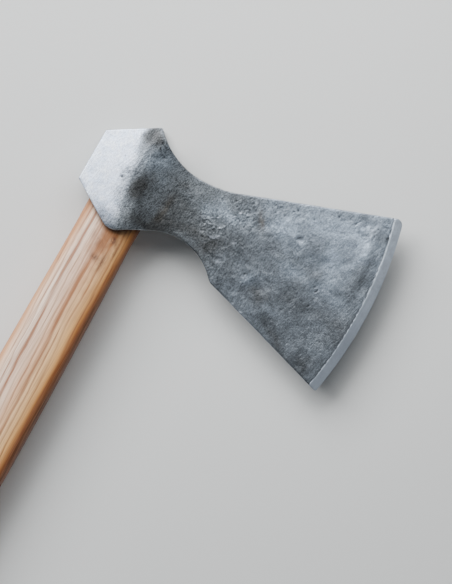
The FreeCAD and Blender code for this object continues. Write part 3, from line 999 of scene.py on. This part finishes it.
def kerf_tool():
    above = 5.0
    grow = (KERF_TOP_HALF - KERF_TIP_HALF) / (HAFT_TOP_Y - KERF_TIP_Y) * above
    profile = [(HAFT_TOP_Y + above, KERF_TOP_HALF + grow)]
    profile += [(KERF_TIP_Y, KERF_TIP_HALF), (SAW_END_Y, KERF_TIP_HALF)]
    return wedge_tool("kerf_tool", profile, 30.0)


def cross_tool():
    above = 5.0
    grow = (CROSS_TOP_HALF - CROSS_TIP_HALF) / CROSS_LENGTH * above
    profile = [(HAFT_TOP_Y + above, CROSS_TOP_HALF + grow)]
    profile += [(HAFT_TOP_Y - CROSS_LENGTH, CROSS_TIP_HALF)]
    return wedge_tool("cross_tool", profile, CROSS_WIDTH / 2, CROSS_TURN)


def hang_hole_tool():
    """Drill with a softened mouth on both sides."""
    x, y = HANG_HOLE
    profile = [(HANG_HOLE_R + 6.0, 19.0), (HANG_HOLE_R + 0.9, 13.5), (HANG_HOLE_R + 0.25, 12.7)]
    profile += [(HANG_HOLE_R, 12.1)]
    profile += [(r, -z) for r, z in profile[::-1]]
    turns = [2 * math.pi * k / 64 for k in range(64)]
    rings = [[(x + r * math.cos(a), y + r * math.sin(a), z) for a in turns] for r, z in profile]
    return ring_solid("hang_hole_tool", rings)


# ---- Materials ------------------------------------------------------------------------
class Graph:
    """A material and short ways to add nodes to it."""

    def __init__(self, name):
        self.material = bpy.data.materials.new(name)
        self.material.use_nodes = True
        self.tree = self.material.node_tree
        self.shader = self.tree.nodes["Principled BSDF"]
        self.coords = self.add("ShaderNodeTexCoord").outputs["Object"]

    def add(self, kind, inputs=(), **settings):
        node = self.tree.nodes.new(kind)
        for key, value in settings.items():
            setattr(node, key, value)
        for key, value in dict(inputs).items():
            self.feed(node.inputs[key], value)
        return node

    def feed(self, socket, value):
        if isinstance(value, bpy.types.NodeSocket):
            self.tree.links.new(value, socket)
        else:
            socket.default_value = value

    def position(self, size, start=(0, 0, 0), of=None):
        """Object position, or the vector `of`, in mm and divided by one size or by three."""
        sizes = (size,) * 3 if isinstance(size, (int, float)) else size
        node = self.add("ShaderNodeMapping", {"Vector": of or self.coords, "Location": start})
        node.inputs["Scale"].default_value = [1000.0 / v for v in sizes]
        return node.outputs["Vector"]

    def axes(self):
        """Object position in mm along X, Y and Z."""
        return self.add("ShaderNodeSeparateXYZ", {"Vector": self.position(1)}).outputs

    def noise(self, vector, detail=3.0, rough=0.55, warp=0.0):
        node = self.add("ShaderNodeTexNoise", {"Vector": vector, "Scale": 1.0, "Detail": detail})
        node.inputs["Roughness"].default_value = rough
        node.inputs["Distortion"].default_value = warp
        return node.outputs["Fac"]

    def calc(self, operation, a, b=0.0, c=0.0, clamp=False):
        node = self.add("ShaderNodeMath", {0: a, 1: b, 2: c}, operation=operation, use_clamp=clamp)
        return node.outputs[0]

    def times(self, a, b):
        return self.calc("MULTIPLY", a, b)

    def ramp(self, value, stops):
        node = self.add("ShaderNodeValToRGB", {"Fac": value})
        band = node.color_ramp
        while len(band.elements) < len(stops):
            band.elements.new(1.0)
        for element, (place, colour) in zip(band.elements, stops):
            element.position = place
            colour = (colour,) * 3 if isinstance(colour, (int, float)) else colour
            element.color = (*colour, 1)
        return node.outputs["Color"]

    def mix(self, share, a, b, mode="MIX"):
        node = self.add("ShaderNodeMix", data_type="RGBA", blend_type=mode)
        for socket, value in ((0, share), (6, a), (7, b)):
            if isinstance(value, tuple):
                value = (*value, 1)
            self.feed(node.inputs[socket], value)
        return node.outputs[2]

    def level(self, value, low, high, out_low=0.0, out_high=1.0):
        node = self.add("ShaderNodeMapRange", {"Value": value, "From Min": low, "From Max": high})
        node.inputs["To Min"].default_value = out_low
        node.inputs["To Max"].default_value = out_high
        return node.outputs["Result"]

    def stored(self, name):
        return self.add("ShaderNodeAttribute", attribute_name=name).outputs["Fac"]

    def bump(self, height, distance_mm, strength=1.0, under=None):
        node = self.add("ShaderNodeBump", {"Height": height, "Strength": strength})
        node.inputs["Distance"].default_value = distance_mm * MM
        if under is not None:
            self.feed(node.inputs["Normal"], under)
        return node.outputs["Normal"]

    def finish(self, **sockets):
        for name, value in sockets.items():
            self.feed(self.shader.inputs[name.replace("_", " ")], value)
        return self.material


def forged_steel():
    g = Graph("forged_steel")
    mottle = g.noise(g.position(17), 3.0, 0.55, 0.5)
    cloud = g.noise(g.position(3.6), 4.0, 0.6, 0.3)
    value = g.calc("MULTIPLY_ADD", mottle, 0.30, g.times(cloud, 0.14))
    value = g.calc("SUBTRACT", g.calc("ADD", g.stored("scale_tone_and_painted_light"), value), 0.22)
    steps = [(0.0, (0.037, 0.038, 0.039)), (0.25, (0.098, 0.103, 0.109))]
    steps += [(0.5, (0.215, 0.24, 0.270)), (0.75, (0.385, 0.45, 0.535)), (1.0, (0.56, 0.65, 0.78))]
    tone = g.ramp(value, steps)
    polish_and_painted_sheen = g.stored("polish_and_painted_sheen")
    # painted reflection: a bright bluish sky colour over the facet, the upper outline, the cups'
    # lower lips and the burr
    painted_sheen_on_polish = g.mix(g.level(cloud, 0.36, 0.64), (0.62, 0.70, 0.86), (0.80, 0.85, 0.97))
    tone = g.mix(g.times(polish_and_painted_sheen, 0.85), tone, painted_sheen_on_polish)
    warm = g.level(g.noise(g.position(21, start=(5, 2, 0)), 3.0, 0.6), 0.56, 0.72)
    tone = g.mix(g.times(warm, 0.12), tone, (0.20, 0.19, 0.18))
    stain = g.times(g.stored("stain"), g.level(cloud, 0.35, 0.6, 0.2, 0.85))
    tone = g.mix(stain, tone, (0.19, 0.165, 0.135))
    # small dark specks of scale left in the skin
    cells = g.add("ShaderNodeTexVoronoi", {"Vector": g.position(2.1), "Scale": 1.0})
    speck = g.level(cells.outputs["Distance"], 0.15, 0.07)
    chosen = g.level(g.noise(g.position(6, start=(3, 3, 3)), 2.0), 0.54, 0.62)
    speck = g.times(speck, chosen)
    # dark marks: oxide in the pits, seam and weld line, specks of scale, and painted shade under the
    # cups' upper lips
    darkening = g.calc("MAXIMUM", g.stored("cavity"), g.times(speck, 0.6), clamp=True)
    tone = g.mix(darkening, tone, (0.03, 0.031, 0.035))
    rough = g.level(cloud, 0.3, 0.7, 0.38, 0.50)
    rough = g.calc("MULTIPLY_ADD", darkening, 0.3, rough)
    calm = g.calc("MULTIPLY_ADD", polish_and_painted_sheen, -0.7, 1.0)
    # brush strokes across the head, over an even grain
    brushed = g.add("ShaderNodeVectorRotate", {"Vector": g.coords, "Angle": math.radians(-75.0)})
    strokes = g.noise(g.position((2.6, 0.5, 2.6), of=brushed.outputs["Vector"]), 2.0, 0.6)
    grain = g.noise(g.position(0.6), 2.0, 0.6)
    grain = g.calc("MULTIPLY_ADD", strokes, 0.45, g.times(grain, 0.55))
    # the same grain holds dark oxide in its hollows; the blade is smoother towards the edge
    x = g.axes()[0]
    worn = g.level(x, 80.0, 140.0, 1.0, 0.6)
    worn = g.times(worn, g.level(polish_and_painted_sheen, 0.0, 1.0, 1.0, 0.45))
    sand = g.level(grain, 0.41, 0.59, 0.50, 1.72)
    sand = g.calc("ADD", g.times(g.calc("SUBTRACT", sand, 1.0), worn), 1.0)
    tone = g.mix(1.0, tone, sand, "MULTIPLY")
    # the neck is less blue than the blade
    neck = g.times(g.level(x, 62.0, 96.0, 1.0, 0.0), g.level(x, 24.0, 34.0))
    tone = g.mix(neck, tone, (1.03, 1.0, 0.95), "MULTIPLY")
    pebble = g.noise(g.position(1.7), 1.0, 0.5)
    normal = g.bump(grain, 0.18, calm)
    normal = g.bump(pebble, 0.10, calm, normal)
    return g.finish(Base_Color=tone, Roughness=rough, Metallic=0.95, Normal=normal)


def edge_steel():
    g = Graph("edge_steel")
    mottle = g.noise(g.position(9), 3.0, 0.5)
    cloud = g.noise(g.position(1.6), 4.0, 0.6)
    value = g.calc("MULTIPLY_ADD", mottle, 0.5, g.times(cloud, 0.5))
    tone = g.ramp(value, [(0.3, (0.48, 0.53, 0.60)), (0.7, (0.76, 0.84, 0.95))])
    # grinding lines run along the edge
    line = g.noise(g.position((0.22, 7.0, 3.0)), 3.0, 0.6)
    tone = g.mix(g.level(line, 0.35, 0.65, 0.0, 0.3), tone, (0.36, 0.37, 0.40))
    # painted shade: the lower half is darker
    painted_lower_shade = g.level(g.axes()[1], 26.0, -16.0, 0.0, 0.62)
    tone = g.mix(painted_lower_shade, tone, (0.30, 0.335, 0.39))
    darkening = g.stored("cavity")
    tone = g.mix(darkening, tone, (0.03, 0.031, 0.035))
    rough = g.calc("MULTIPLY_ADD", darkening, 0.3, g.level(cloud, 0.3, 0.7, 0.40, 0.52))
    normal = g.bump(cloud, 0.05, 0.7, g.bump(line, 0.03, 0.6))
    return g.finish(Base_Color=tone, Roughness=rough, Metallic=0.8, Normal=normal)


# across the haft in mm from the back: colour of the wood, and the darker streaks
WOOD_ZONES = [
    (8.0, (0.42, 0.15, 0.05)),
    (10.8, (0.68, 0.34, 0.17)),
    (13.1, (0.98, 0.68, 0.48)),
    (16.5, (1.0, 0.79, 0.64)),
    (20.5, (0.96, 0.67, 0.50)),
    (23.0, (0.97, 0.69, 0.51)),
    (26.5, (0.88, 0.53, 0.32)),
    (30.5, (0.95, 0.61, 0.33)),
    (34.0, (0.91, 0.55, 0.25)),
    (36.6, (0.88, 0.48, 0.17)),
    (38.2, (0.68, 0.29, 0.085)),
    (39.7, (0.31, 0.098, 0.027)),
    (41.4, (0.12, 0.035, 0.010)),
    (45.0, (0.07, 0.023, 0.01)),
]
WOOD_STREAKS = [(12.4, 0.8, 0.7), (14.8, 0.9, 0.7), (18.2, 2.0, 1.0), (21.6, 0.8, 0.55)]
WOOD_STREAKS += [(24.4, 0.9, 0.75), (27.6, 2.2, 1.0), (30.4, 0.9, 0.85), (33.2, 1.0, 0.8)]
WOOD_STREAKS += [(37.4, 1.3, 0.9), (39.7, 0.9, 0.9)]
WOOD_LEFT, WOOD_SPAN = 6.0, 42.0


def haft_wood():
    g = Graph("haft_wood")
    x, y, _ = g.axes()
    # the grain runs a little across the haft and wanders
    wide = g.noise(g.position((60, 120, 40)), 2.0, 0.5)
    local = g.noise(g.position((9, 34, 12), start=(4, 0, 1)), 3.0, 0.6)
    shift = g.calc("MULTIPLY_ADD", wide, 7.0, -3.5)
    shift = g.calc("ADD", shift, g.calc("MULTIPLY_ADD", local, 2.6, -1.3))
    across = g.calc("ADD", g.calc("MULTIPLY_ADD", y, 0.043, 1.7), g.calc("ADD", x, shift))
    place = g.calc("DIVIDE", g.calc("SUBTRACT", across, WOOD_LEFT), WOOD_SPAN)
    edge_place = g.calc("MULTIPLY_ADD", g.calc("SUBTRACT", x, across), 0.65, across)
    edge_place = g.calc("SUBTRACT", edge_place, g.level(y, -75.0, -36.0, 0.0, 1.6))
    edge_place = g.calc("DIVIDE", g.calc("SUBTRACT", edge_place, WOOD_LEFT), WOOD_SPAN)
    at = lambda mm: (mm - WOOD_LEFT) / WOOD_SPAN
    tone = g.ramp(edge_place, [(at(mm), colour) for mm, colour in WOOD_ZONES])
    stops = []
    for mm, width, dark in WOOD_STREAKS:
        stops += [(at(mm - width), 0.0), (at(mm), dark), (at(mm + 0.45 * width), 0.0)]
    lines = g.ramp(place, stops)
    streak = g.noise(g.position((2.0, 90, 2.0)), 3.0, 0.55, 0.3)
    lines = g.times(lines, g.level(streak, 0.35, 0.62, 0.55, 1.15))
    faint = g.noise(g.position((1.1, 70, 1.1), start=(2, 5, 0)), 3.0, 0.6)
    lines = g.calc("ADD", lines, g.level(faint, 0.50, 0.70, 0.0, 0.52), clamp=True)
    tone = g.mix(g.times(lines, 0.9), tone, (0.26, 0.085, 0.035))
    fibre = g.noise(g.position((0.45, 24, 0.45)), 4.0, 0.65)
    tone = g.mix(g.level(fibre, 0.38, 0.66, 0.0, 0.48), tone, (0.46, 0.24, 0.13))
    # handled and oiled just below the head: browner towards the front, with dark smudges
    near = g.level(y, -92.0, -36.0)
    side = g.times(g.level(x, 17.0, 31.0, 0.15, 1.0), g.level(x, 33.5, 38.5, 1.0, 0.25))
    brown = g.level(g.noise(g.position((6, 18, 6), start=(7, 1, 2)), 3.0, 0.6), 0.38, 0.62)
    brown = g.times(g.times(near, side), g.calc("MULTIPLY_ADD", brown, 0.75, 0.25))
    tone = g.mix(brown, tone, (0.37, 0.145, 0.055))
    smudge = g.level(g.noise(g.position((5, 8, 5), start=(1, 4, 2)), 4.0, 0.7), 0.53, 0.68)
    close = g.level(y, -56.0, -36.0)
    smudge = g.times(smudge, g.times(close, side))
    tone = g.mix(g.times(smudge, 0.5), tone, (0.06, 0.035, 0.03))
    blotch = g.level(g.noise(g.position((1.8, 3.2, 1.8)), 4.0, 0.7), 0.30, 0.50)
    blotch = g.times(blotch, g.stored("smudge"))
    tone = g.mix(blotch, tone, (0.075, 0.035, 0.03))
    # painted contact shadow under the head
    painted_contact_shadow = g.stored("painted_contact_shadow")
    tone = g.mix(g.times(painted_contact_shadow, 0.9), tone, (0.05, 0.022, 0.012))
    rough = g.level(fibre, 0.3, 0.7, 0.42, 0.58)
    normal = g.bump(fibre, 0.06, 0.6)
    normal = g.bump(lines, 0.05, 0.4, normal)
    return g.finish(Base_Color=tone, Roughness=rough, Normal=normal, Specular_IOR_Level=0.24)


def wedge_wood():
    g = Graph("wedge_wood")
    fibre = g.noise(g.position((0.5, 14, 0.5)), 4.0, 0.6)
    tone = g.ramp(fibre, [(0.3, (0.10, 0.045, 0.02)), (0.7, (0.30, 0.16, 0.08))])
    return g.finish(Base_Color=tone, Roughness=0.6, Normal=g.bump(fibre, 0.08, 0.6))


def wedge_steel():
    g = Graph("wedge_steel")
    cloud = g.noise(g.position(1.6), 4.0, 0.65)
    tone = g.ramp(cloud, [(0.3, (0.05, 0.045, 0.045)), (0.7, (0.24, 0.22, 0.21))])
    rough = g.level(cloud, 0.3, 0.7, 0.45, 0.7)
    return g.finish(Base_Color=tone, Roughness=rough, Metallic=0.9, Normal=g.bump(cloud, 0.1, 0.7))


# ---- Stage ----------------------------------------------------------------------------
VIEW_TURN = 30.0  # the picture is turned by this much about the view axis
VIEW_CENTRE = (97.6, -27.9)
VIEW_SPAN = 309.5  # height of the picture at the mid-plane
LENS, SENSOR = 300.0, 36.0
LIGHT_COLOUR = (0.95, 0.98, 1.0)
FLOOR_HALF = 3.0  # metres
FLOOR_GAP = 0.05  # millimetres under the lowest point


def make_camera():
    data = bpy.data.cameras.new("camera")
    data.lens, data.sensor_width = LENS, SENSOR
    distance = VIEW_SPAN * LENS / SENSOR * MM
    cam = bpy.data.objects.new("camera", data)
    cam.location = (VIEW_CENTRE[0] * MM, VIEW_CENTRE[1] * MM, distance)
    cam.rotation_euler = (0, 0, math.radians(VIEW_TURN))
    data.clip_start, data.clip_end = 0.01, 20
    bpy.context.scene.collection.objects.link(cam)
    bpy.context.scene.camera = cam


def area_light(name, energy, size, distance, tilt, heading):
    """Soft box aimed at the head, tilted off the vertical towards a heading in the XY plane."""
    data = bpy.data.lights.new(name, "AREA")
    data.shape, data.size, data.size_y = "RECTANGLE", size[0], size[1]
    data.energy, data.color = energy, LIGHT_COLOUR
    lamp = bpy.data.objects.new(name, data)
    t, h = math.radians(tilt), math.radians(heading)
    away = Vector((math.sin(t) * math.cos(h), math.sin(t) * math.sin(h), math.cos(t)))
    target = Vector((0.07, -0.02, 0))
    lamp.location = target + away * distance
    lamp.rotation_euler = away.to_track_quat("Z", "Y").to_euler()
    bpy.context.scene.collection.objects.link(lamp)


def make_stage():
    floor_z = CAD_BOX[0][2] / MM - FLOOR_GAP
    around = ((-1, -1), (1, -1), (1, 1), (-1, 1))
    corners = [(a * FLOOR_HALF / MM, b * FLOOR_HALF / MM, floor_z) for a, b in around]
    floor = mesh_object("floor", corners, [(0, 1, 2, 3)])
    paper = Graph("floor").finish(Base_Color=(0.74, 0.73, 0.71, 1), Roughness=0.9)
    floor.data.materials.append(paper)
    world = bpy.data.worlds.new("world")
    bpy.context.scene.world = world
    world.use_nodes = True
    sky = world.node_tree.nodes["Background"].inputs
    sky["Color"].default_value = (0.75, 0.82, 0.9, 1)
    sky["Strength"].default_value = 0.16
    area_light("key", 40, (1.2, 1.0), 1.4, 50, 152)
    area_light("side", 0.4, (0.5, 0.5), 1.3, 40, -12)
    area_light("near", 1.3, (0.32, 0.32), 0.5, 38, 98)


# ---- Assembly -------------------------------------------------------------------------
make_camera()
make_stage()
head = make_head()
bit = make_bit()
haft = make_haft()

steel, edge, wood = forged_steel(), edge_steel(), haft_wood()
for node, make in (("kerf_wedge", wedge_wood), ("cross_wedge", wedge_steel)):
    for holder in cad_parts[node].material_slots:
        holder.material = make()
for piece, node, slot, mat in (
    (head, "head_body", "forged_steel", steel),
    (bit, "steel_bit", "edge_steel", edge),
    (haft, "haft", "haft_wood", wood),
):
    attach(piece, "root")
    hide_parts(node)
    piece.data.materials.clear()
    piece.data.materials.append(mat)
